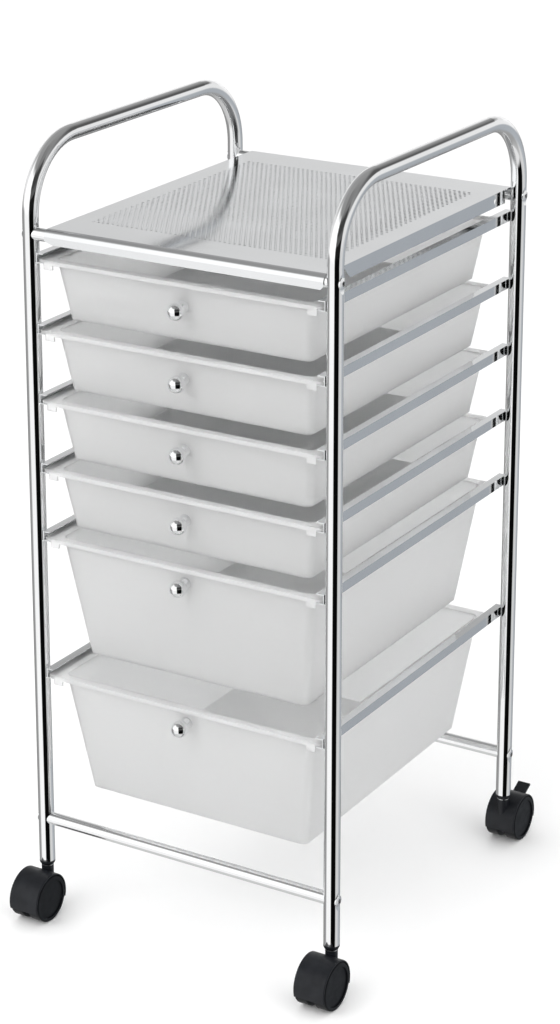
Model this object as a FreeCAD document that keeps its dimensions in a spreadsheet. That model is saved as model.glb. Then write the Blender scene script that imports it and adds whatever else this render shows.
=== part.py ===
import FreeCAD, Part
import math
import os
import Sketcher

# A rolling cart: X runs across the front, -Y is the front, Z is up from the floor, in millimetres.

DIMENSIONS = {
    # Side frames and crossbars
    "leg_spacing_x": 336,
    "leg_spacing_y": 372,
    "tube_diameter": 16,
    "tube_wall": 1.2,
    "leg_bottom": 57.5,
    "handle_axis": 807.5,
    "bend_radius": 70,
    "bar_diameter": 12.7,
    "bar_wall": 1.2,
    "top_bar_level": 722.15,
    "bottom_bar_level": 105,
    # Crossbar bolts, the dimples they sit in and the inserts they screw into
    "dimple_depth": 1.6,
    "dimple_radius": 32,
    "bolt_diameter": 4.8,
    "bolt_length": 36,
    "bolt_head_diameter": 11,
    "bolt_head_height": 0.7,
    "bolt_dome_radius": 12.5,
    "bolt_socket_size": 4.6,
    "bolt_socket_depth": 1.7,
    "bolt_hole_gap": 0.3,
    "insert_length": 20,
    "insert_depth": 12,
    "insert_thread_gap": 0.1,
    # Top shelf
    "shelf_sheet": 1,
    "shelf_width": 307,
    "shelf_shift": 6,
    "shelf_flange": 14,
    "apron_cut_left": 9,
    "apron_cut_right": 3,
    "apron_cut_height": 3.2,
    "flange_front_setback": 30,
    "flange_rear_setback": 13,
    "flange_corner": 12,
    "flange_hole_diameter": 5.5,
    "flange_hole_inset": 22,
    "hole_diameter": 9,
    "hole_pitch": 18,
    "hole_row_pitch": 31.2,
    "hole_columns": 15,
    "hole_rows": 9,
    # Rails
    "rail_height": 10,
    "rail_flange": 8,
    "rail_sheet": 1,
    "rail_overhang": 4,
    "first_rail": 694.5,
    "shallow_pitch": 71.2,
    "deep_pitch": 147,
    # Drawers
    "rim_thickness": 2.5,
    "rim_lift": 0.3,
    "rim_side_gap": 0.8,
    "rim_front": 190,
    "rim_back": 176,
    "rim_corner": 4,
    "tub_half_width": 144.5,
    "tub_front": 182.5,
    "tub_back": 168,
    "tub_wall": 1.8,
    "tub_corner": 9,
    "tub_foot_corner": 7,
    "shallow_depth": 58,
    "shallow_slope": 0.165,
    "deep_depth": 123,
    "deep_slope": 0.15,
    "lip_half_width": 151,
    "lip_height": 1.6,
    "lip_thickness": 2,
    "tab_width": 10,
    "tab_drop": 5,
    # Knobs and their screws
    "shallow_knob_drop": 22,
    "deep_knob_drop": 15,
    "knob_diameter": 17,
    "knob_reach": 13,
    "knob_foot_diameter": 13,
    "knob_neck_diameter": 8,
    "knob_neck_length": 7,
    "screw_diameter": 3.6,
    "screw_length": 11,
    "screw_head_diameter": 8,
    "screw_head_height": 2.2,
    "screw_dome_radius": 6,
    "screw_slot_width": 1,
    "screw_slot_length": 4.8,
    "screw_hole_gap": 0.6,
    # Casters
    "wheel_diameter": 48,
    "wheel_outer_face": 17.2,
    "wheel_edge_radius": 1.6,
    "wheel_gap": 0.5,
    "wheel_dish_diameter": 40,
    "wheel_dish_depth": 1.3,
    "wheel_hollow_diameter": 38,
    "wheel_hub_diameter": 16,
    "wheel_hollow_depth": 8,
    "wheel_bore_depth": 10,
    "running_gap": 0.05,
    "axle_diameter": 5,
    "caster_trail": 18,
    "hood_width": 33.5,
    "hood_clearance": 0.9,
    "hood_wall": 1.4,
    "hood_edge_radius": 1,
    "hood_web": 7,
    "hood_bottom": 16.5,
    "neck_diameter": 12.4,
    "neck_top": 52.8,
    "neck_bottom": 34,
    "stem_diameter": 8,
    "stem_bottom": 45,
    "stem_top": 88,
    "sleeve_flange": 4,
    "sleeve_length": 36,
    # Brake levers of the rear casters
    "lever_pivot_back": 20,
    "lever_pivot_rise": 6,
    "lever_pin_diameter": 3,
    "lever_root_width": 3.6,
    "lever_root_front": 2.2,
    "lever_root_back": 4.5,
    "lever_root_height": 15.2,
    "lever_slot_gap": 0.4,
    "lever_slot_front": 3,
    "lever_slot_length": 11,
    "lever_slot_drop": 3.8,
    "pedal_start": 22.5,
    "pedal_rise": 16.4,
    "pedal_width": 14,
    "pedal_length": 13.8,
    "pedal_thickness": 2.4,
}
PEDAL_TILT = 25.0

doc = FreeCAD.newDocument("rolling_cart")
sheet = doc.addObject("Spreadsheet::Sheet", "dims")
for row, (alias, number) in enumerate(DIMENSIONS.items(), start=1):
    sheet.set(f"A{row}", alias)
    sheet.set(f"B{row}", str(number))
    sheet.setAlias(f"B{row}", alias)
doc.recompute()


class Size:
    """A length that knows its value and the sheet expression that gives it."""

    def __init__(self, value, text):
        self.value = value
        self.text = text

    def __add__(self, other):
        other = as_size(other)
        return Size(self.value + other.value, f"({self.text} + {other.text})")

    def __sub__(self, other):
        other = as_size(other)
        return Size(self.value - other.value, f"({self.text} - {other.text})")

    def __mul__(self, other):
        other = as_size(other)
        return Size(self.value * other.value, f"({self.text} * {other.text})")

    def __truediv__(self, other):
        other = as_size(other)
        return Size(self.value / other.value, f"({self.text} / {other.text})")

    def __neg__(self):
        return Size(-self.value, f"(0 - {self.text})")


def as_size(amount):
    """Takes a Size or a plain number."""
    if isinstance(amount, Size):
        return amount
    return Size(float(amount), f"({float(amount)})")


def dim(alias):
    """The Size of one cell of the sheet."""
    return Size(float(sheet.get(alias)), f"dims.{alias}")


# Sizes that many pieces share
HALF_X = dim("leg_spacing_x") / 2
HALF_Y = dim("leg_spacing_y") / 2
LEG_RADIUS = dim("tube_diameter") / 2
BAR_RADIUS = dim("bar_diameter") / 2
RAIL_WEB = HALF_X - LEG_RADIUS
BAR_LEVELS = {"top": dim("top_bar_level"), "bottom": dim("bottom_bar_level")}
BAR_PLACES = {"front": -HALF_Y, "rear": HALF_Y}
SIDES = {"left": -1, "right": 1}
ENDS = {"front": -1, "rear": 1}
SHALLOW_DRAWERS = 4
DRAWERS = 6

ALONG = {
    "x": FreeCAD.Rotation(FreeCAD.Vector(0, 1, 0), 90),
    "y": FreeCAD.Rotation(FreeCAD.Vector(1, 0, 0), -90),
    "z": FreeCAD.Rotation(),
}


def rail_level(index):
    """Height of the underside of the rail of one drawer, counted from the top."""
    if index <= SHALLOW_DRAWERS:
        return dim("first_rail") - dim("shallow_pitch") * index
    return dim("first_rail") - dim("shallow_pitch") * SHALLOW_DRAWERS - dim("deep_pitch")


def bind(item, name, amount):
    """Ties a property to the sheet."""
    item.setExpression(name, as_size(amount).text)


def place(item, x=0, y=0, z=0, rotation=ALONG["z"]):
    """Sets a Placement whose position follows the sheet."""
    item.Placement = FreeCAD.Placement(FreeCAD.Vector(), rotation)
    for axis, amount in zip("xyz", (x, y, z)):
        bind(item, f"Placement.Base.{axis}", amount)
    return item


# Primitives and booleans

def cylinder(radius, height, x=0, y=0, z=0, along="z"):
    item = doc.addObject("Part::Cylinder", "cylinder")
    bind(item, "Radius", radius)
    bind(item, "Height", height)
    return place(item, x, y, z, ALONG[along])


def cone(low_radius, high_radius, height, x=0, y=0, z=0):
    item = doc.addObject("Part::Cone", "cone")
    bind(item, "Radius1", low_radius)
    bind(item, "Radius2", high_radius)
    bind(item, "Height", height)
    return place(item, x, y, z)


def sphere(radius, x=0, y=0, z=0):
    item = doc.addObject("Part::Sphere", "sphere")
    bind(item, "Radius", radius)
    return place(item, x, y, z)


def box(length, width, height, x=0, y=0, z=0):
    """A box centred on x and y that stands on z."""
    item = doc.addObject("Part::Box", "box")
    bind(item, "Length", length)
    bind(item, "Width", width)
    bind(item, "Height", height)
    return place(item, as_size(x) - as_size(length) / 2, as_size(y) - as_size(width) / 2, z)


def hexagon(size, height, x, y, z, along):
    item = doc.addObject("Part::Prism", "hexagon")
    item.Polygon = 6
    bind(item, "Circumradius", as_size(size) / math.sqrt(3))
    bind(item, "Height", height)
    return place(item, x, y, z, ALONG[along])


def fuse(*pieces):
    item = doc.addObject("Part::MultiFuse", "fuse")
    item.Shapes = list(pieces)
    return item


def common(first, second):
    item = doc.addObject("Part::MultiCommon", "common")
    item.Shapes = [first, second]
    return item


def cut(base, *tools):
    item = doc.addObject("Part::Cut", "cut")
    item.Base = base
    item.Tool = tools[0] if len(tools) == 1 else fuse(*tools)
    return item


def rounded_ends(base, radius):
    """Rounds both round edges of a cylinder."""
    item = doc.addObject("Part::Fillet", "fillet")
    item.Base = base
    item.Edges = [(1, radius.value, radius.value), (3, radius.value, radius.value)]
    return item


def group(*pieces):
    item = doc.addObject("Part::Compound", "group")
    item.Links = list(pieces)
    return item


# Sketches

def new_sketch(body, plane, offset=0):
    """A sketch on one of the body's own origin planes, moved along the plane's normal."""
    sketch = body.newObject("Sketcher::SketchObject", "sketch")
    support = [feature for feature in body.Origin.OriginFeatures if feature.Role == plane][0]
    sketch.AttachmentSupport = [(support, "")]
    sketch.MapMode = "FlatFace"
    bind(sketch, "AttachmentOffset.Base.z", offset)
    return sketch


def drive(sketch, constraint, amount):
    """Adds a dimension that follows the sheet."""
    index = sketch.addConstraint(constraint)
    sketch.setExpression(f"Constraints[{index}]", as_size(amount).text)


def pin(sketch, geometry, point, x=None, y=None):
    """Holds a point of the sketch at a distance from the origin."""
    for kind, axis, amount in (("DistanceX", -2, x), ("DistanceY", -1, y)):
        if amount is None:
            continue
        amount = as_size(amount)
        if amount.value == 0:
            sketch.addConstraint(Sketcher.Constraint("PointOnObject", geometry, point, axis))
        elif amount.value > 0:
            drive(sketch, Sketcher.Constraint(kind, -1, 1, geometry, point, amount.value), amount)
        else:
            drive(sketch, Sketcher.Constraint(kind, geometry, point, -1, 1, -amount.value), -amount)


def vector(x, y):
    return FreeCAD.Vector(as_size(x).value, as_size(y).value, 0)


def sketch_circle(sketch, x, y, radius):
    ring = Part.Circle(vector(x, y), FreeCAD.Vector(0, 0, 1), as_size(radius).value)
    index = sketch.addGeometry(ring)
    pin(sketch, index, 3, x, y)
    drive(sketch, Sketcher.Constraint("Radius", index, ring.Radius), radius)


def sketch_polygon(sketch, points):
    """A closed outline of straight lines with every corner held."""
    first = sketch.GeometryCount
    count = len(points)
    for index in range(count):
        start = vector(*points[index])
        end = vector(*points[(index + 1) % count])
        sketch.addGeometry(Part.LineSegment(start, end))
    for index in range(count):
        following = first + (index + 1) % count
        sketch.addConstraint(Sketcher.Constraint("Coincident", first + index, 2, following, 1))
    for index in range(count):
        pin(sketch, first + index, 1, *points[index])


def sketch_arc(sketch, x, y, radius, start_degrees, sweep_degrees=90):
    """An arc that starts at an angle and turns to the left."""
    ring = Part.Circle(vector(x, y), FreeCAD.Vector(0, 0, 1), as_size(radius).value)
    end_degrees = start_degrees + sweep_degrees
    return sketch.addGeometry(Part.ArcOfCircle(ring, math.radians(start_degrees), math.radians(end_degrees)))


def sketch_line(sketch, x_start, y_start, x_end, y_end):
    return sketch.addGeometry(Part.LineSegment(vector(x_start, y_start), vector(x_end, y_end)))


def sketch_rounded_rectangle(sketch, x_low, y_low, x_high, y_high, radius):
    """A rectangle with four equal round corners."""
    x_left, x_right = x_low + radius, x_high - radius
    y_near, y_far = y_low + radius, y_high - radius
    bottom = sketch_line(sketch, x_left, y_low, x_right, y_low)
    corner = sketch_arc(sketch, x_right, y_near, radius, -90)
    right = sketch_line(sketch, x_high, y_near, x_high, y_far)
    second = sketch_arc(sketch, x_right, y_far, radius, 0)
    top = sketch_line(sketch, x_right, y_high, x_left, y_high)
    third = sketch_arc(sketch, x_left, y_far, radius, 90)
    left = sketch_line(sketch, x_low, y_far, x_low, y_near)
    fourth = sketch_arc(sketch, x_left, y_near, radius, 180)
    loop = [bottom, corner, right, second, top, third, left, fourth]
    for current, following in zip(loop, loop[1:] + loop[:1]):
        sketch.addConstraint(Sketcher.Constraint("Tangent", current, 2, following, 1))
    for line in (bottom, top):
        sketch.addConstraint(Sketcher.Constraint("Horizontal", line))
    for line in (left, right):
        sketch.addConstraint(Sketcher.Constraint("Vertical", line))
    for arc in (second, third, fourth):
        sketch.addConstraint(Sketcher.Constraint("Equal", corner, arc))
    drive(sketch, Sketcher.Constraint("Radius", corner, radius.value), radius)
    pin(sketch, bottom, 1, y=y_low)
    pin(sketch, right, 1, x=x_high)
    pin(sketch, top, 1, y=y_high)
    pin(sketch, left, 1, x=x_low)


# Features of a body

def pad(body, sketch, length, both_ways=False, against_normal=False):
    feature = body.newObject("PartDesign::Pad", "pad")
    feature.Profile = sketch
    feature.SideType = "Symmetric" if both_ways else "One side"
    feature.Reversed = against_normal
    bind(feature, "Length", length)
    return feature


def pocket_through(body, sketch):
    """Cuts a sketch through the whole body, both ways."""
    before = body.Tip.Shape.Volume
    feature = body.newObject("PartDesign::Pocket", "pocket")
    feature.Profile = sketch
    feature.Type = "ThroughAll"
    feature.SideType = "Symmetric"
    doc.recompute()
    if not feature.Shape.Volume < before:
        raise RuntimeError(f"{body.Label}: a pocket removed nothing")
    return feature


def loft(body, kind, upper, lower):
    feature = body.newObject(f"PartDesign::{kind}", "loft")
    feature.Profile = upper
    feature.Sections = [lower]
    feature.Ruled = True
    return feature


# Side frames

def side_frame(side):
    """One tube bent over the depth: two legs and the handle between them."""
    x = HALF_X * side
    bend = dim("bend_radius")
    body = doc.addObject("PartDesign::Body", "side_frame")
    path = new_sketch(body, "YZ_Plane", x)
    bend_start = dim("handle_axis") - bend
    front_leg = sketch_line(path, -HALF_Y, dim("leg_bottom"), -HALF_Y, bend_start)
    front_bend = sketch_arc(path, bend - HALF_Y, bend_start, bend, 90)
    handle = sketch_line(path, bend - HALF_Y, dim("handle_axis"), HALF_Y - bend, dim("handle_axis"))
    rear_bend = sketch_arc(path, HALF_Y - bend, bend_start, bend, 0)
    rear_leg = sketch_line(path, HALF_Y, bend_start, HALF_Y, dim("leg_bottom"))
    joints = ((front_leg, 2, front_bend, 2), (front_bend, 1, handle, 1), (handle, 2, rear_bend, 2),
              (rear_bend, 1, rear_leg, 1))
    for joint in joints:
        path.addConstraint(Sketcher.Constraint("Tangent", *joint))
    path.addConstraint(Sketcher.Constraint("Vertical", front_leg))
    path.addConstraint(Sketcher.Constraint("Horizontal", handle))
    path.addConstraint(Sketcher.Constraint("Vertical", rear_leg))
    path.addConstraint(Sketcher.Constraint("Equal", front_bend, rear_bend))
    drive(path, Sketcher.Constraint("Radius", front_bend, bend.value), bend)
    pin(path, front_leg, 1, -HALF_Y, dim("leg_bottom"))
    pin(path, rear_leg, 2, HALF_Y, dim("leg_bottom"))
    pin(path, handle, 1, y=dim("handle_axis"))
    section = new_sketch(body, "XY_Plane", dim("leg_bottom"))
    sketch_circle(section, x, -HALF_Y, LEG_RADIUS)
    sketch_circle(section, x, -HALF_Y, LEG_RADIUS - dim("tube_wall"))
    pipe = body.newObject("PartDesign::AdditivePipe", "bent_tube")
    pipe.Profile = section
    pipe.Spine = (path, [f"Edge{number + 1}" for number in range(path.GeometryCount)])
    doc.recompute()
    backings = []
    hollows = []
    for y in BAR_PLACES.values():
        for z in BAR_LEVELS.values():
            inside = leg_space(side, y, LEG_RADIUS - dim("tube_wall") / 2)
            backings.append(common(inside, dimple(side, y, z, dim("dimple_radius") + dim("tube_wall"))))
            hollows.append(dimple(side, y, z, dim("dimple_radius")))
            hollows.append(cylinder(dim("bolt_diameter") / 2 + dim("bolt_hole_gap"), dim("tube_diameter"),
                                    x - LEG_RADIUS, y, z, "x"))
    return cut(fuse(body, *backings), *hollows)


def leg_space(side, y, radius=LEG_RADIUS):
    """The space of a leg, used to shape what fits against it or in it."""
    return cylinder(radius, dim("handle_axis"), HALF_X * side, y, 0)


def dimple(side, y, z, radius):
    """A round along Y that reaches into a leg's outer side where a bolt sits."""
    middle = HALF_X + LEG_RADIUS - dim("dimple_depth") + dim("dimple_radius")
    width = dim("tube_diameter")
    return cylinder(radius, width * 2, middle * side, y - width, z, "y")


# Crossbars, their bolts and inserts


def crossbar(y, z):
    """A tube between two legs whose ends are coped to fit round them."""
    length = dim("leg_spacing_x")
    outside = cylinder(BAR_RADIUS, length, -HALF_X, y, z, "x")
    inside = cylinder(BAR_RADIUS - dim("bar_wall"), length, -HALF_X, y, z, "x")
    return cut(outside, inside, leg_space(-1, y), leg_space(1, y))


def crossbar_bolt(side, y, z):
    """A domed bolt with a hexagon socket, its head sunk in a dimple of the leg."""
    top = LEG_RADIUS + dim("bolt_head_height")
    base = LEG_RADIUS - dim("dimple_depth")
    start = HALF_X * side + (base if side > 0 else -top)
    blank = cylinder(dim("bolt_head_diameter") / 2, top - base, start, y, z, "x")
    dome = sphere(dim("bolt_dome_radius"), HALF_X * side + (top - dim("bolt_dome_radius")) * side, y, z)
    socket_depth = dim("bolt_socket_depth")
    socket_start = HALF_X * side + (top - socket_depth if side > 0 else -top)
    socket = hexagon(dim("bolt_socket_size"), socket_depth, socket_start, y, z, "x")
    pressed_leg = cut(leg_space(side, y), dimple(side, y, z, dim("dimple_radius")))
    head = cut(common(blank, dome), pressed_leg, socket)
    length = dim("bolt_length")
    seat = top - socket_depth
    shank_start = HALF_X * side + (seat - length if side > 0 else -seat)
    return fuse(head, cylinder(dim("bolt_diameter") / 2, length, shank_start, y, z, "x"))


def crossbar_insert(side, y, z):
    """A threaded plug inside the end of a crossbar."""
    length = dim("insert_length")
    depth = dim("insert_depth")
    start = HALF_X * side + (-depth - length if side > 0 else depth)
    plug = cylinder(BAR_RADIUS - dim("bar_wall"), length, start, y, z, "x")
    thread = cylinder(dim("bolt_diameter") / 2 + dim("insert_thread_gap"), length, start, y, z, "x")
    return cut(plug, thread)


def at_every_bar_end(make):
    return group(*[make(side, y, z) for side in SIDES.values()
                   for y in BAR_PLACES.values() for z in BAR_LEVELS.values()])


# Top shelf

def shelf_section(body):
    """The sheet seen from the side: flat between the bars, bent round each of them, then straight down."""
    sketch = new_sketch(body, "YZ_Plane", dim("shelf_shift"))
    level = dim("top_bar_level")
    outer = BAR_RADIUS + dim("shelf_sheet")
    low = level + outer - dim("shelf_flange")
    drops = []
    for radius in (outer, BAR_RADIUS):
        top = sketch_line(sketch, -HALF_Y, level + radius, HALF_Y, level + radius)
        front = sketch_arc(sketch, -HALF_Y, level, radius, 90)
        rear = sketch_arc(sketch, HALF_Y, level, radius, 0)
        front_drop = sketch_line(sketch, -HALF_Y - radius, level, -HALF_Y - radius, low)
        rear_drop = sketch_line(sketch, HALF_Y + radius, level, HALF_Y + radius, low)
        for first, first_point, second, second_point in (
                (top, 1, front, 1), (top, 2, rear, 2), (front, 2, front_drop, 1), (rear, 1, rear_drop, 1)):
            sketch.addConstraint(Sketcher.Constraint("Tangent", first, first_point, second, second_point))
        sketch.addConstraint(Sketcher.Constraint("Equal", front, rear))
        drive(sketch, Sketcher.Constraint("Radius", front, radius.value), radius)
        pin(sketch, front, 3, -HALF_Y, level)
        pin(sketch, rear, 3, HALF_Y, level)
        for drop in (front_drop, rear_drop):
            sketch.addConstraint(Sketcher.Constraint("Vertical", drop))
            pin(sketch, drop, 2, y=low)
        drops.append((front_drop, rear_drop))
    for direction, outer_drop, inner_drop in zip((-1, 1), *drops):
        edge = sketch_line(sketch, (HALF_Y + outer) * direction, low, (HALF_Y + BAR_RADIUS) * direction, low)
        sketch.addConstraint(Sketcher.Constraint("Coincident", edge, 1, outer_drop, 2))
        sketch.addConstraint(Sketcher.Constraint("Coincident", edge, 2, inner_drop, 2))
    return sketch


def apron_corners(body, edges, low):
    """Cuts off the lower corners of the front and rear aprons."""
    sketch = new_sketch(body, "XZ_Plane")
    for side, edge in edges.items():
        inner = edge - dim(f"apron_cut_{side}") * SIDES[side]
        sketch_polygon(sketch, [(edge, low), (edge, low + dim("apron_cut_height")), (inner, low)])
    pocket_through(body, sketch)


def shelf_holes(body):
    """Two staggered holes that are repeated over the middle of the shelf."""
    sketch = new_sketch(body, "XY_Plane")
    pitch = dim("hole_pitch")
    row_pitch = dim("hole_row_pitch")
    x = dim("shelf_shift") - (pitch * (dim("hole_columns") - 0.5)) / 2
    y = -(row_pitch * (dim("hole_rows") - 0.5)) / 2
    sketch_circle(sketch, x, y, dim("hole_diameter") / 2)
    sketch_circle(sketch, x + pitch / 2, y + row_pitch / 2, dim("hole_diameter") / 2)
    hole = pocket_through(body, sketch)
    pattern = body.newObject("PartDesign::LinearPattern", "hole_field")
    pattern.Originals = [hole]
    pattern.Direction = (sketch, ["H_Axis"])
    pattern.Direction2 = (sketch, ["V_Axis"])
    bind(pattern, "Length", pitch * (dim("hole_columns") - 1))
    bind(pattern, "Occurrences", dim("hole_columns"))
    bind(pattern, "Length2", row_pitch * (dim("hole_rows") - 1))
    bind(pattern, "Occurrences2", dim("hole_rows"))
    body.Tip = pattern


def shelf_flange(body, side, edge, top, low):
    """A side of the shelf turned down, with its lower front corner cut off."""
    flange = new_sketch(body, "YZ_Plane", edge)
    front = dim("flange_front_setback") - HALF_Y
    rear = HALF_Y - dim("flange_rear_setback")
    corner = dim("flange_corner")
    sketch_polygon(flange, [
        (front, top), (front, low + corner), (front + corner, low), (rear, low), (rear, top),
    ])
    pad(body, flange, dim("shelf_sheet"), against_normal=side > 0)


def flange_holes(body, top):
    """A small hole near the rear end of each turned-down side."""
    sketch = new_sketch(body, "YZ_Plane")
    y = HALF_Y - dim("flange_rear_setback") - dim("flange_hole_inset")
    sketch_circle(sketch, y, top - dim("shelf_flange") / 2, dim("flange_hole_diameter") / 2)
    pocket_through(body, sketch)


def top_shelf():
    """A perforated plate with turned-down sides and with aprons bent over the top crossbars."""
    body = doc.addObject("PartDesign::Body", "shelf")
    top = dim("top_bar_level") + BAR_RADIUS + dim("shelf_sheet")
    low = top - dim("shelf_flange")
    edges = {name: dim("shelf_shift") + dim("shelf_width") / 2 * side for name, side in SIDES.items()}
    pad(body, shelf_section(body), dim("shelf_width"), both_ways=True)
    doc.recompute()
    apron_corners(body, edges, low)
    for name, side in SIDES.items():
        shelf_flange(body, side, edges[name], top, low)
    doc.recompute()
    flange_holes(body, top)
    shelf_holes(body)
    return body


# Rails

def rail_pair(index):
    """Two sheet channels, open to the inside, against the inner sides of the legs."""
    body = doc.addObject("PartDesign::Body", "rail")
    profile = new_sketch(body, "XZ_Plane")
    low = rail_level(index)
    high = low + dim("rail_height")
    sheet_metal = dim("rail_sheet")
    tip = RAIL_WEB - dim("rail_flange")
    sketch_polygon(profile, [
        (RAIL_WEB, low), (RAIL_WEB, high), (tip, high), (tip, high - sheet_metal),
        (RAIL_WEB - sheet_metal, high - sheet_metal), (RAIL_WEB - sheet_metal, low + sheet_metal),
        (tip, low + sheet_metal), (tip, low),
    ])
    pad(body, profile, dim("leg_spacing_y") + dim("rail_overhang") * 2, both_ways=True)
    mirrored = doc.addObject("Part::Mirroring", "mirrored_rail")
    mirrored.Source = body
    mirrored.Normal = FreeCAD.Vector(1, 0, 0)
    return group(body, mirrored)


# Drawers

def rim_bottom(index):
    return rail_level(index) + dim("rail_sheet") + dim("rim_lift")


def rim_top(index):
    return rim_bottom(index) + dim("rim_thickness")


def tub_depth(index):
    return dim("shallow_depth") if index < SHALLOW_DRAWERS else dim("deep_depth")


def tub_slope(index):
    return dim("shallow_slope") if index < SHALLOW_DRAWERS else dim("deep_slope")


def knob_level(index):
    drop = dim("shallow_knob_drop") if index < SHALLOW_DRAWERS else dim("deep_knob_drop")
    return rail_level(index) - drop


def tub_outline(body, index, level, corner, inset):
    """The tub's outline at one height, narrowed by its slope and by an inset."""
    sketch = new_sketch(body, "XY_Plane", level)
    shrink = (rim_top(index) - level) * tub_slope(index) + inset
    half = dim("tub_half_width") - shrink
    sketch_rounded_rectangle(sketch, -half, shrink - dim("tub_front"), half, dim("tub_back") - shrink,
                             corner - inset)
    return sketch


def drawer(index):
    """A tapered tub that hangs by its rim, with a front lip and two stop tabs."""
    body = doc.addObject("PartDesign::Body", "drawer")
    top = rim_top(index)
    foot = rim_bottom(index) - tub_depth(index)
    corner, foot_corner = dim("tub_corner"), dim("tub_foot_corner")
    wall = dim("tub_wall")
    outside = [tub_outline(body, index, top, corner, as_size(0)),
               tub_outline(body, index, foot, foot_corner, as_size(0))]
    loft(body, "AdditiveLoft", *outside)
    rim = new_sketch(body, "XY_Plane", rim_bottom(index))
    half = RAIL_WEB - dim("rail_sheet") - dim("rim_side_gap")
    sketch_rounded_rectangle(rim, -half, -dim("rim_front"), half, dim("rim_back"), dim("rim_corner"))
    pad(body, rim, dim("rim_thickness"))
    inside = [tub_outline(body, index, top, corner, wall),
              tub_outline(body, index, foot + wall, foot_corner, wall)]
    loft(body, "SubtractiveLoft", *inside)
    lip_bottom = rim_bottom(index) - dim("lip_height")
    front, back = -dim("rim_front"), dim("lip_thickness") - dim("rim_front")
    lip_end = dim("lip_half_width")
    lip = new_sketch(body, "XY_Plane", lip_bottom)
    sketch_polygon(lip, [(-lip_end, front), (lip_end, front), (lip_end, back), (-lip_end, back)])
    pad(body, lip, dim("lip_height"))
    for side in SIDES.values():
        tab = new_sketch(body, "XY_Plane", lip_bottom - dim("tab_drop"))
        outer = lip_end * side
        inner = outer - dim("tab_width") * side
        sketch_polygon(tab, [(inner, front), (outer, front), (outer, back), (inner, back)])
        pad(body, tab, dim("tab_drop"))
    doc.recompute()
    hole = new_sketch(body, "XZ_Plane")
    sketch_circle(hole, 0, knob_level(index), dim("screw_diameter") / 2 + dim("screw_hole_gap"))
    front_hole(body, hole)
    return body


def front_hole(body, sketch):
    """Cuts a sketch on the middle plane through the front wall only."""
    before = body.Tip.Shape.Volume
    feature = body.newObject("PartDesign::Pocket", "knob_hole")
    feature.Profile = sketch
    feature.Reversed = True
    bind(feature, "Length", dim("rim_front"))
    doc.recompute()
    if not feature.Shape.Volume < before:
        raise RuntimeError(f"{body.Label}: the knob hole removed nothing")


# Knobs and their screws

def on_front_wall(item, index):
    """Puts a piece that points along +Z square on the sloping front wall of a drawer."""
    level = knob_level(index)
    slope = tub_slope(index)
    wall = (rim_top(index) - level) * slope - dim("tub_front")
    lean = math.degrees(math.atan(slope.value))
    outward = FreeCAD.Rotation(FreeCAD.Vector(1, 0, 0), 90 + lean)
    return place(item, 0, wall, level, outward)


def knob(index):
    """A ball on a short flared foot, bored for its screw."""
    foot = cone(dim("knob_foot_diameter") / 2, dim("knob_neck_diameter") / 2, dim("knob_neck_length"))
    ball = sphere(dim("knob_diameter") / 2, z=dim("knob_reach"))
    bore_depth = dim("screw_length") - dim("tub_wall")
    bore = cylinder(dim("screw_diameter") / 2, bore_depth)
    return on_front_wall(cut(fuse(foot, ball), bore), index)


def knob_screw(index):
    """A domed screw from inside the drawer, with a cross slot."""
    wall = dim("tub_wall")
    head_height = dim("screw_head_height")
    blank = cylinder(dim("screw_head_diameter") / 2, head_height, z=-wall - head_height)
    dome = sphere(dim("screw_dome_radius"), z=dim("screw_dome_radius") - wall - head_height)
    slot_length = dim("screw_slot_length")
    slot_width = dim("screw_slot_width")
    slot_level = -wall - head_height
    slots = [box(slot_length, slot_width, head_height / 2, z=slot_level),
             box(slot_width, slot_length, head_height / 2, z=slot_level)]
    head = cut(common(blank, dome), *slots)
    shank = cylinder(dim("screw_diameter") / 2, dim("screw_length"), z=-wall)
    return on_front_wall(fuse(head, shank), index)


# Casters

WHEEL_RADIUS = dim("wheel_diameter") / 2
POCKET_RADIUS = WHEEL_RADIUS + dim("hood_clearance")
HOOD_RADIUS = POCKET_RADIUS + dim("hood_wall")
WHEEL_START = dim("hood_web") / 2 + dim("wheel_gap")
LEVER_ENDS = ("rear",)


class Corner:
    """One leg's place: its axis and the axle that trails away from the cart's middle."""

    def __init__(self, end, side):
        self.end = end
        self.outward = ENDS[end]
        self.x = HALF_X * SIDES[side]
        self.y = HALF_Y * self.outward
        self.axle_y = self.y + dim("caster_trail") * self.outward


def across(corner, start, length, radius, y, z):
    """A cylinder along X that starts at a distance from the leg's axis."""
    return cylinder(radius, length, corner.x + start, y, z, "x")


def leg_sleeve(corner):
    """A plastic bush in the leg's end with a tapered collar below it."""
    bottom = dim("leg_bottom")
    flange = dim("sleeve_flange")
    bush = cylinder(LEG_RADIUS - dim("tube_wall"), dim("sleeve_length"), corner.x, corner.y, bottom)
    collar = cone(dim("neck_diameter") / 2, LEG_RADIUS, flange, corner.x, corner.y, bottom - flange)
    bore_length = dim("sleeve_length") + flange
    bore = cylinder(dim("stem_diameter") / 2 + dim("running_gap"), bore_length,
                    corner.x, corner.y, bottom - flange)
    return cut(fuse(bush, collar), bore)


def caster_stem(corner):
    """The steel pin that turns in the sleeve."""
    length = dim("stem_top") - dim("stem_bottom")
    return cylinder(dim("stem_diameter") / 2, length, corner.x, corner.y, dim("stem_bottom"))


def caster_axle(corner):
    half = WHEEL_START + dim("wheel_bore_depth") - dim("wheel_gap")
    return across(corner, -half, half * 2, dim("axle_diameter") / 2, corner.axle_y, WHEEL_RADIUS)


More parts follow.
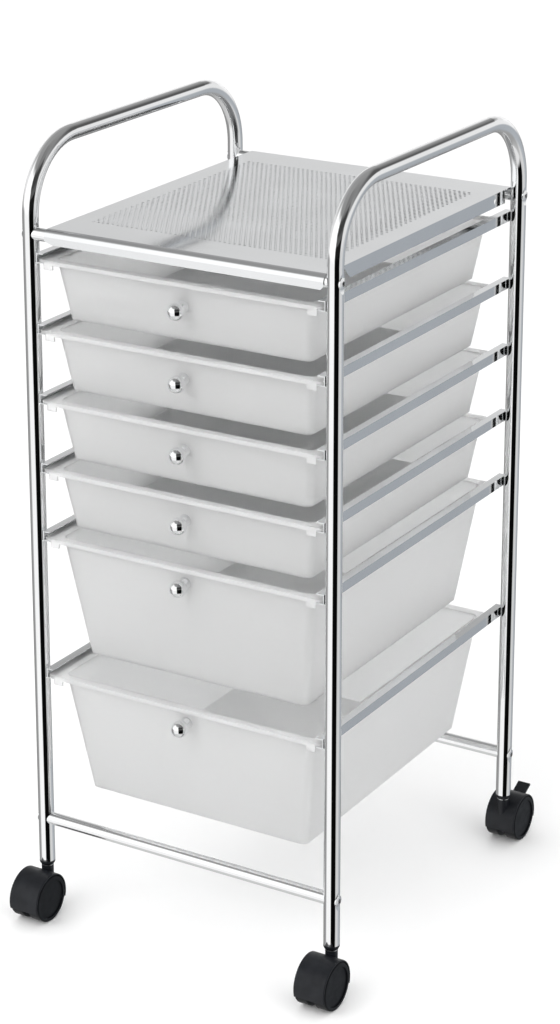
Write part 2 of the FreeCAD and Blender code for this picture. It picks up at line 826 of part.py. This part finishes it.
def caster_hood(corner):
    """A drum over the two wheels, open at the sides and below, with a neck for the stem."""
    width = dim("hood_width")
    drum = rounded_ends(across(corner, -width / 2, width, HOOD_RADIUS, corner.axle_y, WHEEL_RADIUS),
                        dim("hood_edge_radius"))
    neck = cylinder(dim("neck_diameter") / 2, dim("neck_top") - dim("neck_bottom"), corner.x, corner.y,
                    dim("neck_bottom"))
    web = dim("hood_web")
    tools = [across(corner, web / 2, width, POCKET_RADIUS, corner.axle_y, WHEEL_RADIUS),
             across(corner, -web / 2 - width, width, POCKET_RADIUS, corner.axle_y, WHEEL_RADIUS),
             across(corner, -web, web * 2, dim("axle_diameter") / 2, corner.axle_y, WHEEL_RADIUS),
             box(width * 2, HOOD_RADIUS * 4, HOOD_RADIUS * 2, corner.x, corner.axle_y,
                 dim("hood_bottom") - HOOD_RADIUS * 2),
             cylinder(dim("stem_diameter") / 2, dim("stem_top"), corner.x, corner.y, dim("stem_bottom"))]
    if corner.end in LEVER_ENDS:
        tools += lever_room(corner)
    return cut(fuse(drum, neck), *tools)


def lever_pivot(corner):
    """The pivot's distance behind the middle of the cart and its height."""
    return corner.axle_y + dim("lever_pivot_back"), WHEEL_RADIUS + dim("lever_pivot_rise")


def lever_room(corner):
    """The slot in the hood for a brake lever and the bore for its pin."""
    y, z = lever_pivot(corner)
    slot_middle = y - dim("lever_slot_front") + dim("lever_slot_length") / 2
    slot = box(dim("lever_root_width") + dim("lever_slot_gap") * 2, dim("lever_slot_length"), HOOD_RADIUS,
               corner.x, slot_middle, z - dim("lever_slot_drop"))
    web = dim("hood_web")
    bore = across(corner, -web / 2, web, dim("lever_pin_diameter") / 2 + dim("running_gap"), y, z)
    return [slot, bore]


def brake_lever(corner):
    """A sloping pedal behind the hood of a rear caster, on a narrow root with its pivot pin."""
    y, z = lever_pivot(corner)
    front, back = dim("lever_root_front"), dim("lever_root_back")
    root = box(dim("lever_root_width"), front + back, dim("lever_root_height"),
               corner.x, y + (back - front) / 2, z - front)
    web = dim("hood_web")
    pivot_pin = across(corner, -web / 2, web, dim("lever_pin_diameter") / 2, y, z)
    pedal = doc.addObject("Part::Box", "pedal")
    bind(pedal, "Length", dim("pedal_width"))
    bind(pedal, "Width", dim("pedal_length"))
    bind(pedal, "Height", dim("pedal_thickness"))
    tilt = FreeCAD.Rotation(FreeCAD.Vector(1, 0, 0), PEDAL_TILT)
    place(pedal, corner.x - dim("pedal_width") / 2, corner.axle_y + dim("pedal_start"),
          WHEEL_RADIUS + dim("pedal_rise"), tilt)
    return fuse(root, pivot_pin, pedal)


def caster_wheel(corner, side):
    """A solid wheel with a dished outer face, a hollow inner face and a blind bore."""
    start, outer = WHEEL_START, dim("wheel_outer_face")
    y, z = corner.axle_y, WHEEL_RADIUS

    def disc(radius, first, last):
        """A disc between two distances from the leg's axis, on this wheel's side."""
        return across(corner, first if side > 0 else -last, last - first, radius, y, z)

    blank = rounded_ends(disc(WHEEL_RADIUS, start, outer), dim("wheel_edge_radius"))
    dish = disc(dim("wheel_dish_diameter") / 2, outer - dim("wheel_dish_depth"), outer)
    hollow_end = start + dim("wheel_hollow_depth")
    hollow = cut(disc(dim("wheel_hollow_diameter") / 2, start, hollow_end),
                 disc(dim("wheel_hub_diameter") / 2, start, hollow_end))
    bore = disc(dim("axle_diameter") / 2 + dim("running_gap"), start, start + dim("wheel_bore_depth"))
    return cut(blank, dish, hollow, bore)


# The assembly

def build():
    """Makes every piece and returns it under its name."""
    made = {}
    for name, side in SIDES.items():
        made[f"{name}_side_frame"] = side_frame(side)
    for end, y in BAR_PLACES.items():
        for height, z in BAR_LEVELS.items():
            made[f"{end}_{height}_crossbar"] = crossbar(y, z)
    made["crossbar_bolts"] = at_every_bar_end(crossbar_bolt)
    made["crossbar_inserts"] = at_every_bar_end(crossbar_insert)
    made["top_shelf"] = top_shelf()
    for index in range(DRAWERS):
        number = index + 1
        made[f"rail_pair_{number}"] = rail_pair(index)
        made[f"drawer_{number}"] = drawer(index)
        made[f"knob_{number}"] = knob(index)
        made[f"knob_screw_{number}"] = knob_screw(index)
    corners = {f"{end}_{side}": Corner(end, side) for end in ENDS for side in SIDES}
    made["leg_sleeves"] = group(*[leg_sleeve(corner) for corner in corners.values()])
    for name, corner in corners.items():
        made[f"{name}_caster_stem"] = caster_stem(corner)
        made[f"{name}_caster_hood"] = caster_hood(corner)
        made[f"{name}_caster_axle"] = caster_axle(corner)
        for wheel_name, side in SIDES.items():
            made[f"{name}_{wheel_name}_wheel"] = caster_wheel(corner, side)
        if corner.end in LEVER_ENDS:
            made[f"{name}_brake_lever"] = brake_lever(corner)
    return made


def write(made):
    """Checks every object and then writes one file for each piece."""
    doc.recompute()
    for item in doc.Objects:
        if "Invalid" in item.State or "Error" in item.State:
            raise RuntimeError(f"{item.Name} of type {item.TypeId} failed: {item.State}")
    for name, item in made.items():
        item.Label = name
        if item.Shape.isNull() or not item.Shape.isValid():
            raise RuntimeError(f"{name} has no valid shape")
    os.makedirs("parts", exist_ok=True)
    for name, item in made.items():
        item.Shape.exportStep(f"parts/{name}.step")
        print(f"{name}: {len(item.Shape.Solids)} solid, {item.Shape.Volume:.0f} mm3")


write(build())
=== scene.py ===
import math

import bpy
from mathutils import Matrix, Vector


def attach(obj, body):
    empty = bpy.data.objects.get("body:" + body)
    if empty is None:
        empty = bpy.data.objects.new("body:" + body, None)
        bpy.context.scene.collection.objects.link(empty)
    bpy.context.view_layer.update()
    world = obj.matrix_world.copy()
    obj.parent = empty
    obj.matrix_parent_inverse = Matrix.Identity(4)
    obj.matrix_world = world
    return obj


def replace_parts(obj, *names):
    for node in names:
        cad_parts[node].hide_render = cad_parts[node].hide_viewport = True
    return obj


# A rolling cart with a chromed frame, a perforated shelf, six frosted drawers and four casters.
# X runs across the front, -Y is the front, Z is up from the floor, in metres.

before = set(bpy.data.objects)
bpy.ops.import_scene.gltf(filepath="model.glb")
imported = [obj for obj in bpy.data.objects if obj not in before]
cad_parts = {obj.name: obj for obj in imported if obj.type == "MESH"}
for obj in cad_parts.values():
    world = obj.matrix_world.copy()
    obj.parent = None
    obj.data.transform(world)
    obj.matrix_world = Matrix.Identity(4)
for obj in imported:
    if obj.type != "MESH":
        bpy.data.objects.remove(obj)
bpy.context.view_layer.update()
scene = bpy.context.scene
scene.view_settings.view_transform = "Standard"


# Helpers for nodes and pieces

SHARP_EDGE = math.radians(35)


def new_material(name, **values):
    """A material whose Principled shader has its constant values on its own sockets."""
    made = bpy.data.materials.new(name)
    made.use_nodes = True
    shader = made.node_tree.nodes["Principled BSDF"]
    for socket, value in values.items():
        shader.inputs[socket.replace("_", " ")].default_value = value
    return made


def noise(material, scale, detail=3.0):
    """Noise in the object's own coordinates, scale in cells for each metre."""
    tree = material.node_tree
    place = tree.nodes.new("ShaderNodeTexCoord")
    pattern = tree.nodes.new("ShaderNodeTexNoise")
    pattern.inputs["Scale"].default_value = scale
    pattern.inputs["Detail"].default_value = detail
    tree.links.new(place.outputs["Object"], pattern.inputs["Vector"])
    return pattern.outputs["Fac"]


def ramp(tree, amount, stops):
    """A colour ramp over grey levels or colours, given as (position, colour) stops."""
    node = tree.nodes.new("ShaderNodeValToRGB")
    steps = node.color_ramp.elements
    while len(steps) < len(stops):
        steps.new(1.0)
    for step, (position, colour) in zip(steps, stops):
        step.position = position
        step.color = (colour, colour, colour, 1.0) if isinstance(colour, float) else (*colour, 1.0)
    tree.links.new(amount, node.inputs["Fac"])
    return node.outputs["Color"]


def vary(material, socket, amount, low, high):
    """Lets a pattern move one socket of the shader between two values."""
    tree = material.node_tree
    colour = ramp(tree, amount, [(0.3, low), (0.7, high)])
    tree.links.new(colour, tree.nodes["Principled BSDF"].inputs[socket])


def roughen(material, amount, strength, depth):
    """Bumps the surface with a pattern, depth in metres."""
    tree = material.node_tree
    bump = tree.nodes.new("ShaderNodeBump")
    bump.inputs["Strength"].default_value = strength
    bump.inputs["Distance"].default_value = depth
    tree.links.new(amount, bump.inputs["Height"])
    tree.links.new(bump.outputs["Normal"], tree.nodes["Principled BSDF"].inputs["Normal"])


def quarter_turn(steps):
    """Angles from nothing to a right angle in even steps."""
    return [math.pi / 2 * step / steps for step in range(steps + 1)]


def new_piece(name, points, faces, finish, body):
    """A piece of the cart with smooth faces and sharp edges that moves with a CAD body."""
    mesh = bpy.data.meshes.new(name)
    mesh.from_pydata(points, [], faces)
    mesh.validate()
    mesh.shade_smooth()
    mesh.set_sharp_from_angle(angle=SHARP_EDGE)
    mesh.materials.append(finishes[finish])
    piece = bpy.data.objects.new(name, mesh)
    scene.collection.objects.link(piece)
    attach(piece, body)
    return piece


# Materials

def chrome(name, low, high, haze):
    """Bright plating with faint haze and the slight unevenness of a polished surface."""
    made = new_material(name, Metallic=1.0)
    vary(made, "Base Color", noise(made, 9.0), low, high)
    vary(made, "Roughness", noise(made, 60.0), haze * 0.7, haze)
    roughen(made, noise(made, 35.0, detail=1.0), 0.02, 0.0004)
    return made


def plain_steel():
    """Zinc-plated steel of pins, screws and inserts."""
    made = new_material("plain_steel", Metallic=1.0)
    vary(made, "Base Color", noise(made, 220.0), (0.50, 0.51, 0.52), (0.62, 0.63, 0.64))
    vary(made, "Roughness", noise(made, 400.0), 0.24, 0.36)
    roughen(made, noise(made, 900.0), 0.1, 0.0002)
    return made


def frosted_plastic():
    """Milky moulded sheet that lets light through and blurs what is behind it."""
    made = new_material("frosted_plastic", IOR=1.4, Transmission_Weight=0.55, Subsurface_Weight=1.0,
                        Subsurface_Scale=0.004, Subsurface_Radius=(1.0, 1.0, 1.0))
    vary(made, "Base Color", noise(made, 7.0, detail=2.0), (0.97, 0.975, 0.975), (0.985, 0.99, 0.99))
    vary(made, "Roughness", noise(made, 45.0), 0.36, 0.44)
    roughen(made, noise(made, 1400.0, detail=2.0), 0.12, 0.0002)
    return made


def black_plastic(name, low, high, index):
    """Moulded nylon with a fine grain and a soft sheen, stronger with a higher refractive index."""
    made = new_material(name, IOR=index)
    vary(made, "Base Color", noise(made, 90.0), low, high)
    vary(made, "Roughness", noise(made, 160.0), 0.34, 0.46)
    roughen(made, noise(made, 1800.0, detail=2.0), 0.2, 0.0002)
    return made


finishes = {
    "chrome_tube": chrome("chrome_tube", (0.90, 0.905, 0.91), (0.94, 0.945, 0.95), 0.06),
    "chrome_sheet": chrome("chrome_sheet", (0.80, 0.81, 0.82), (0.86, 0.87, 0.88), 0.10),
    "chrome_trim": chrome("chrome_trim", (0.86, 0.865, 0.87), (0.92, 0.925, 0.93), 0.08),
    "steel": plain_steel(),
    "frosted_plastic": frosted_plastic(),
    "black_plastic": black_plastic("black_plastic", (0.006, 0.007, 0.0095), (0.012, 0.0135, 0.017), 1.36),
    "wheel_plastic": black_plastic("wheel_plastic", (0.004, 0.0045, 0.006), (0.007, 0.008, 0.0095), 1.22),
}


def finish_of(name):
    """The finish of a CAD node by what it is."""
    if name.endswith(("_side_frame", "_crossbar")):
        return "chrome_tube"
    if name.startswith(("rail_pair", "top_shelf")):
        return "chrome_sheet"
    if name.startswith("drawer_"):
        return "frosted_plastic"
    if name.startswith("knob_screw") or name.endswith(("_stem", "_axle", "_inserts")):
        return "steel"
    if name.startswith("knob_") or name.endswith("_bolts"):
        return "chrome_trim"
    if name.endswith("_wheel"):
        return "wheel_plastic"
    return "black_plastic"


for name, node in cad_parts.items():
    node.data.materials.clear()
    node.data.materials.append(finishes[finish_of(name)])


# The shelf

SHEET = 0.001
SHELF_LEFT = -0.1475
SHELF_RIGHT = 0.1595
SHELF_EDGES = {-1: SHELF_LEFT, 1: SHELF_RIGHT}
SHELF_TOP = 0.7295
BAR_Y = 0.186
BAR_Z = 0.72215
BEND_RADIUS = SHELF_TOP - BAR_Z
FLANGE_LOW = 0.7155
APRON_CUT_LEFT = 0.009
APRON_CUT_RIGHT = 0.003
APRON_CUT_HEIGHT = 0.0032
FLANGE_FRONT = -0.156
FLANGE_REAR = 0.173
FLANGE_CORNER = 0.012
FLANGE_HOLE_Y = 0.151
FLANGE_HOLE_RADIUS = 0.00275
HOLE_RADIUS = 0.0015
HOLE_PITCH = 0.0055
ROW_PITCH = HOLE_PITCH * math.sqrt(3) / 2
HOLE_COLUMNS = 48
HOLE_ROWS = 61
BEND_STEPS = 10


class Sheet:
    """Collects the corners and faces of one mesh; faces of one body share their corners."""

    def __init__(self):
        self.points = []
        self.faces = []
        self.known = {}

    def corner(self, x, y, z):
        """The number of a corner, made when this body doesn't have it yet."""
        key = (round(x, 6), round(y, 6), round(z, 6))
        if key not in self.known:
            self.known[key] = len(self.points)
            self.points.append(key)
        return self.known[key]

    def face(self, corners):
        """A face with its corners against the clock, seen from outside."""
        self.faces.append([self.corner(*corner) for corner in corners])

    def plate(self, outline):
        """A face of the flat plate and the one under it."""
        self.face([(x, y, SHELF_TOP) for x, y in outline])
        self.face([(x, y, SHELF_TOP - SHEET) for x, y in reversed(outline)])

    def wall(self, start, end):
        """An upright face of the plate between two points of an outline."""
        (x_start, y_start), (x_end, y_end) = start, end
        low = SHELF_TOP - SHEET
        self.face([(x_start, y_start, low), (x_end, y_end, low), (x_end, y_end, SHELF_TOP),
                   (x_start, y_start, SHELF_TOP)])

    def new_body(self):
        """From here on, faces share no corners with the faces before."""
        self.known = {}


def hole_loops(u, v, half_u, half_v, radius):
    """Eight points round a rectangle and eight round the hole in its middle, in step."""
    compass = [(1, 0), (1, 1), (0, 1), (-1, 1), (-1, 0), (-1, -1), (0, -1), (1, -1)]
    edge = [(u + half_u * across, v + half_v * along) for across, along in compass]
    turns = [math.atan2(along, across) for across, along in compass]
    rim = [(u + radius * math.cos(turn), v + radius * math.sin(turn)) for turn in turns]
    return edge, rim


def hole_cell(sheet, x, y):
    """One hole of the plate in the middle of its rectangle."""
    edge, rim = hole_loops(x, y, HOLE_PITCH / 2, ROW_PITCH / 2, HOLE_RADIUS)
    for step in range(len(edge)):
        following = (step + 1) % len(edge)
        sheet.plate([edge[step], edge[following], rim[following], rim[step]])
        sheet.wall(rim[following], rim[step])


def perforated_field(sheet):
    """Rows of holes, every other one moved by half a pitch, with half cells to square off the ends."""
    width = HOLE_PITCH * (HOLE_COLUMNS + 0.5)
    left = (SHELF_LEFT + SHELF_RIGHT - width) / 2
    front = -ROW_PITCH * HOLE_ROWS / 2
    right, rear = left + width, -front
    half_x, half_y = HOLE_PITCH / 2, ROW_PITCH / 2
    for row in range(HOLE_ROWS):
        middle = front + ROW_PITCH * (row + 0.5)
        shift = half_x * (row % 2)
        for column in range(HOLE_COLUMNS):
            hole_cell(sheet, left + shift + HOLE_PITCH * (column + 0.5), middle)
        spare = left if shift else right - half_x
        sheet.plate([(spare, middle - half_y), (spare + half_x, middle - half_y), (spare + half_x, middle),
                     (spare + half_x, middle + half_y), (spare, middle + half_y), (spare, middle)])
    return left, front, right, rear


def shelf_margins(sheet, left, front, right, rear):
    """The plain sheet between the holes and the shelf's edges."""
    across = [left + HOLE_PITCH / 2 * step for step in range(HOLE_COLUMNS * 2 + 2)]
    along = [front + ROW_PITCH / 2 * step for step in range(HOLE_ROWS * 2 + 1)]
    sheet.plate([(SHELF_LEFT, -BAR_Y), (SHELF_RIGHT, -BAR_Y), (SHELF_RIGHT, front),
                 *[(x, front) for x in reversed(across)], (SHELF_LEFT, front)])
    sheet.plate([(SHELF_LEFT, rear), *[(x, rear) for x in across], (SHELF_RIGHT, rear), (SHELF_RIGHT, BAR_Y),
                 (SHELF_LEFT, BAR_Y)])
    sheet.plate([(SHELF_LEFT, front), *[(left, y) for y in along], (SHELF_LEFT, rear)])
    sheet.plate([(SHELF_RIGHT, rear), *[(right, y) for y in reversed(along)], (SHELF_RIGHT, front)])
    sheet.wall((SHELF_LEFT, -BAR_Y), (SHELF_RIGHT, -BAR_Y))
    sheet.wall((SHELF_RIGHT, BAR_Y), (SHELF_LEFT, BAR_Y))
    stops = [-BAR_Y, front, rear, BAR_Y]
    for near, far in zip(stops, stops[1:]):
        sheet.wall((SHELF_RIGHT, near), (SHELF_RIGHT, far))
        sheet.wall((SHELF_LEFT, far), (SHELF_LEFT, near))


def apron_curve(end, radius):
    """Points (y, z) round a crossbar and then straight down to the apron's lower edge."""
    curve = [(end * (BAR_Y + radius * math.sin(turn)), BAR_Z + radius * math.cos(turn))
             for turn in quarter_turn(BEND_STEPS)]
    face_y = end * (BAR_Y + radius)
    return curve + [(face_y, FLANGE_LOW + APRON_CUT_HEIGHT), (face_y, FLANGE_LOW)]


def apron(sheet, end):
    """The sheet bent over a crossbar and then straight down, with its lower corners cut off."""
    sheet.new_body()
    outer = apron_curve(end, BEND_RADIUS)
    inner = apron_curve(end, BEND_RADIUS - SHEET)
    ends = [(SHELF_LEFT, SHELF_RIGHT)] * (len(outer) - 1)
    ends.append((SHELF_LEFT + APRON_CUT_LEFT, SHELF_RIGHT - APRON_CUT_RIGHT))
    rings = [[(left, *out), (left, *into), (right, *into), (right, *out)]
             for (left, right), out, into in zip(ends, outer, inner)]
    faces = [[ring[side], ring[side - 1], below[side - 1], below[side]]
             for ring, below in zip(rings, rings[1:]) for side in range(len(ring))]
    for face in [rings[0], rings[-1][::-1], *faces]:
        sheet.face(face if end > 0 else face[::-1])


def side_flange(sheet, side):
    """A side of the sheet turned down, its lower front corner cut off, with a hole near its rear end."""
    sheet.new_body()
    low, high = FLANGE_LOW, SHELF_TOP - SHEET
    middle, half_height = (low + high) / 2, (high - low) / 2
    hole_front, hole_rear = FLANGE_HOLE_Y - half_height, FLANGE_HOLE_Y + half_height
    edge, rim = hole_loops(FLANGE_HOLE_Y, middle, half_height, half_height, FLANGE_HOLE_RADIUS)
    front = [(FLANGE_FRONT, high), (FLANGE_FRONT, low + FLANGE_CORNER), (FLANGE_FRONT + FLANGE_CORNER, low)]
    rear = [(FLANGE_REAR, low), (FLANGE_REAR, high)]
    below = [(hole_front, low), (FLANGE_HOLE_Y, low), (hole_rear, low)]
    above = [(hole_rear, high), (FLANGE_HOLE_Y, high), (hole_front, high)]
    flats = [front + [below[0], (hole_front, middle), above[-1]],
             rear + [above[0], (hole_rear, middle), below[-1]]]
    for step in range(len(edge)):
        following = (step + 1) % len(edge)
        flats.append([edge[step], edge[following], rim[following], rim[step]])
    left, right = sorted((SHELF_EDGES[side] - SHEET * side, SHELF_EDGES[side]))
    for flat in flats:
        sheet.face([(right, y, z) for y, z in flat])
        sheet.face([(left, y, z) for y, z in reversed(flat)])
    for border in (front + below + rear + above, rim[::-1]):
        for (y, z), (next_y, next_z) in zip(border, border[1:] + border[:1]):
            sheet.face([(left, y, z), (left, next_y, next_z), (right, next_y, next_z), (right, y, z)])


def perforated_shelf():
    """The whole shelf with its fine holes, in place of the CAD shelf with fewer large ones."""
    sheet = Sheet()
    shelf_margins(sheet, *perforated_field(sheet))
    for direction in (-1, 1):
        apron(sheet, direction)
        side_flange(sheet, direction)
    shelf = new_piece("perforated_shelf", sheet.points, sheet.faces, "chrome_sheet", "frame")
    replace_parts(shelf, "top_shelf")


perforated_shelf()


# Leg ends

LEG_X = 0.168
LEG_Y = BAR_Y
LEG_RADIUS = 0.008
LEG_BOTTOM = 0.0575
BUSH_RADIUS = 0.0068
BUSH_TOP = 0.0935
BORE_RADIUS = 0.00405
COLLAR_BOTTOM = 0.0535
COLLAR_ROUNDING = 0.0022
NECK_RADIUS = 0.0062
NECK_TOP = 0.0528
RING_HEIGHT = 0.0008
RING_WALL = 0.0004
TURNED_SIDES = 48
ROUNDING_STEPS = 8


def turned_piece(name, profile, places, finish, body):
    """Turns a closed profile of (radius, height) points about upright axes, all in one mesh."""
    points, faces = [], []
    count = len(profile)
    for x, y in places:
        first = len(points)
        for side in range(TURNED_SIDES):
            turn = 2 * math.pi * side / TURNED_SIDES
            points += [(x + radius * math.cos(turn), y + radius * math.sin(turn), height)
                       for radius, height in profile]
        for side in range(TURNED_SIDES):
            here = first + side * count
            there = first + (side + 1) % TURNED_SIDES * count
            for step in range(count):
                following = (step + 1) % count
                faces.append([here + step, there + step, there + following, here + following])
    return new_piece(name, points, faces, finish, body)


def leg_collars():
    """The sleeves in the four leg ends, with a collar as wide as the leg and rounded below."""
    inner = LEG_RADIUS - COLLAR_ROUNDING
    middle = COLLAR_BOTTOM + COLLAR_ROUNDING
    rounding = [(inner + COLLAR_ROUNDING * math.sin(turn), middle - COLLAR_ROUNDING * math.cos(turn))
                for turn in quarter_turn(ROUNDING_STEPS)]
    profile = [(BORE_RADIUS, COLLAR_BOTTOM), *rounding, (LEG_RADIUS, LEG_BOTTOM), (BUSH_RADIUS, LEG_BOTTOM),
               (BUSH_RADIUS, BUSH_TOP), (BORE_RADIUS, BUSH_TOP)]
    places = [(x, y) for x in (-LEG_X, LEG_X) for y in (-LEG_Y, LEG_Y)]
    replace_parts(turned_piece("leg_collars", profile, places, "black_plastic", "frame"), "leg_sleeves")


def neck_rings():
    """A thin bright ring round the top of each caster's neck."""
    low = NECK_TOP - RING_HEIGHT
    outer = NECK_RADIUS + RING_WALL
    profile = [(NECK_RADIUS, low), (outer, low), (outer, NECK_TOP), (NECK_RADIUS, NECK_TOP)]
    for end, y in (("front", -LEG_Y), ("rear", LEG_Y)):
        for side, x in (("left", -LEG_X), ("right", LEG_X)):
            turned_piece(f"{end}_{side}_neck_ring", profile, [(x, y)], "steel", f"{end}_{side}_caster")


leg_collars()
neck_rings()


# Floor

FLOOR_HALF = 30.0


def pale_floor():
    """A smooth white floor that takes soft shadows and a faint reflection."""
    mesh = bpy.data.meshes.new("floor")
    corners = [(-FLOOR_HALF, -FLOOR_HALF, 0), (FLOOR_HALF, -FLOOR_HALF, 0), (FLOOR_HALF, FLOOR_HALF, 0),
               (-FLOOR_HALF, FLOOR_HALF, 0)]
    mesh.from_pydata(corners, [], [(0, 1, 2, 3)])
    floor = bpy.data.objects.new("floor", mesh)
    scene.collection.objects.link(floor)
    made = new_material("floor", IOR=1.13)
    vary(made, "Base Color", noise(made, 3.0), (0.965, 0.965, 0.965), (0.975, 0.975, 0.975))
    vary(made, "Roughness", noise(made, 8.0), 0.08, 0.11)
    mesh.materials.append(made)
    floor.visible_glossy = False


pale_floor()


# Light

EVEN_LIGHT = 1.08
# What metal sees round the cart: grey levels by heading, from the left (0) over the front (0.25), the right
# (0.5) and the rear (0.75) back to the left (1). The camera stands at 0.34, in front of a dark wall.
STUDIO_FLOOR = [
    (0.0, 0.60), (0.10, 0.64), (0.28, 0.70), (0.34, 0.80), (0.45, 0.80), (0.50, 0.50), (0.62, 0.35),
    (0.75, 0.35), (0.90, 0.60), (1.0, 0.60)]
# Higher parts of the studio, each with the heights between which it takes over, from straight down (0) to
# straight up (1).
STUDIO_LAYERS = [
    (0.13, 0.20, [(0.0, 0.30), (0.085, 0.34), (0.115, 0.98), (0.285, 1.0), (0.30, 0.002), (0.46, 0.002),
                  (0.475, 0.62), (0.56, 0.70), (0.62, (0.44, 0.465, 0.495)), (0.70, (0.40, 0.425, 0.455)),
                  (0.78, 0.28), (1.0, 0.30)]),
    (0.43, 0.48, [(0.0, 0.75), (0.08, 1.2), (0.28, 1.2), (0.30, 0.01), (0.46, 0.01), (0.48, 0.80),
                  (0.70, 0.86), (0.76, 1.0), (0.92, 1.0), (1.0, 0.75)]),
    (0.585, 0.600, [(0.0, 0.75), (0.08, 1.2), (0.28, 1.2), (0.30, 0.10), (0.46, 0.10), (0.48, 0.80),
                    (0.70, 0.86), (0.80, 0.77), (0.825, 0.755), (0.855, 0.67), (1.0, 0.72)]),
    (0.66, 0.71, [(0.0, 0.45), (0.08, 1.2), (0.26, 1.2), (0.29, 0.05), (0.47, 0.05), (0.50, 0.30),
                  (0.66, 0.09), (0.71, 0.10), (0.80, 0.36), (1.0, 0.45)]),
    (0.82, 0.90, [(0.0, 0.32), (0.28, 0.28), (0.34, 0.20), (0.46, 0.22), (0.75, 0.30), (1.0, 0.32)]),
]


def studio_world():
    """Even white light; metal sees a studio with a dark camera side, a bright left and a grey rear."""
    world = bpy.data.worlds.new("studio")
    scene.world = world
    world.use_nodes = True
    tree = world.node_tree
    place = tree.nodes.new("ShaderNodeTexCoord")
    split = tree.nodes.new("ShaderNodeSeparateXYZ")
    tree.links.new(place.outputs["Generated"], split.inputs["Vector"])
    heading = tree.nodes.new("ShaderNodeMath")
    heading.operation = "ARCTAN2"
    tree.links.new(split.outputs["Y"], heading.inputs[0])
    tree.links.new(split.outputs["X"], heading.inputs[1])
    turn = tree.nodes.new("ShaderNodeMapRange")
    turn.inputs["From Min"].default_value = -math.pi
    turn.inputs["From Max"].default_value = math.pi
    tree.links.new(heading.outputs["Value"], turn.inputs["Value"])
    height = tree.nodes.new("ShaderNodeMapRange")
    height.inputs["From Min"].default_value = -1.0
    height.inputs["From Max"].default_value = 1.0
    tree.links.new(split.outputs["Z"], height.inputs["Value"])

    seen = ramp(tree, turn.outputs["Result"], STUDIO_FLOOR)
    for start, end, stops in STUDIO_LAYERS:
        share = ramp(tree, height.outputs["Result"], [(start, 0.0), (end, 1.0)])
        layered = tree.nodes.new("ShaderNodeMix")
        layered.data_type = "RGBA"
        tree.links.new(share, layered.inputs["Factor"])
        tree.links.new(seen, layered.inputs[6])
        tree.links.new(ramp(tree, turn.outputs["Result"], stops), layered.inputs[7])
        seen = layered.outputs[2]

    path = tree.nodes.new("ShaderNodeLightPath")
    plain = tree.nodes["Background"]
    plain.inputs["Color"].default_value = (1.0, 1.0, 1.0, 1.0)
    plain.inputs["Strength"].default_value = EVEN_LIGHT
    studio = tree.nodes.new("ShaderNodeBackground")
    tree.links.new(seen, studio.inputs["Color"])
    white = tree.nodes.new("ShaderNodeBackground")
    white.inputs["Color"].default_value = (1.0, 1.0, 1.0, 1.0)
    with_studio = tree.nodes.new("ShaderNodeMixShader")
    tree.links.new(path.outputs["Is Glossy Ray"], with_studio.inputs["Fac"])
    tree.links.new(plain.outputs["Background"], with_studio.inputs[1])
    tree.links.new(studio.outputs["Background"], with_studio.inputs[2])
    through = tree.nodes.new("ShaderNodeMath")
    through.operation = "MAXIMUM"
    tree.links.new(path.outputs["Is Camera Ray"], through.inputs[0])
    tree.links.new(path.outputs["Is Transmission Ray"], through.inputs[1])
    with_white = tree.nodes.new("ShaderNodeMixShader")
    tree.links.new(through.outputs["Value"], with_white.inputs["Fac"])
    tree.links.new(with_studio.outputs["Shader"], with_white.inputs[1])
    tree.links.new(white.outputs["Background"], with_white.inputs[2])
    tree.links.new(with_white.outputs["Shader"], tree.nodes["World Output"].inputs["Surface"])


def soft_lamp(name, place, target, size, watts):
    """A square soft box aimed at a point."""
    light = bpy.data.lights.new(name, "AREA")
    light.size = size
    light.energy = watts
    lamp = bpy.data.objects.new(name, light)
    scene.collection.objects.link(lamp)
    lamp.location = place
    backward = Vector(place) - Vector(target)
    lamp.rotation_euler = backward.to_track_quat("Z", "Y").to_euler()
    lamp.visible_glossy = False


studio_world()
soft_lamp("key_light", place=(-0.8, -2.6, 2.6), target=(0.0, 0.0, 0.3), size=2.4, watts=40.0)
soft_lamp("fill_light", place=(2.6, -0.4, 0.9), target=(0.0, 0.0, 0.6), size=1.6, watts=18.0)


# Camera

CAMERA_PLACE = (1.34147, -2.24740, 1.40668)
CAMERA_DEGREES = (73.3946, 0.0, 30.8545)
SENSOR_WIDTH = 36.0
LENS = 96.669
SHIFT_Y = -0.2002


def photo_camera():
    """The photo's view: upright picture, looking slightly down from the front right."""
    data = bpy.data.cameras.new("camera")
    data.sensor_width = SENSOR_WIDTH
    data.lens = LENS
    data.shift_y = SHIFT_Y
    camera = bpy.data.objects.new("camera", data)
    scene.collection.objects.link(camera)
    camera.location = CAMERA_PLACE
    camera.rotation_euler = [math.radians(angle) for angle in CAMERA_DEGREES]
    scene.camera = camera


photo_camera()
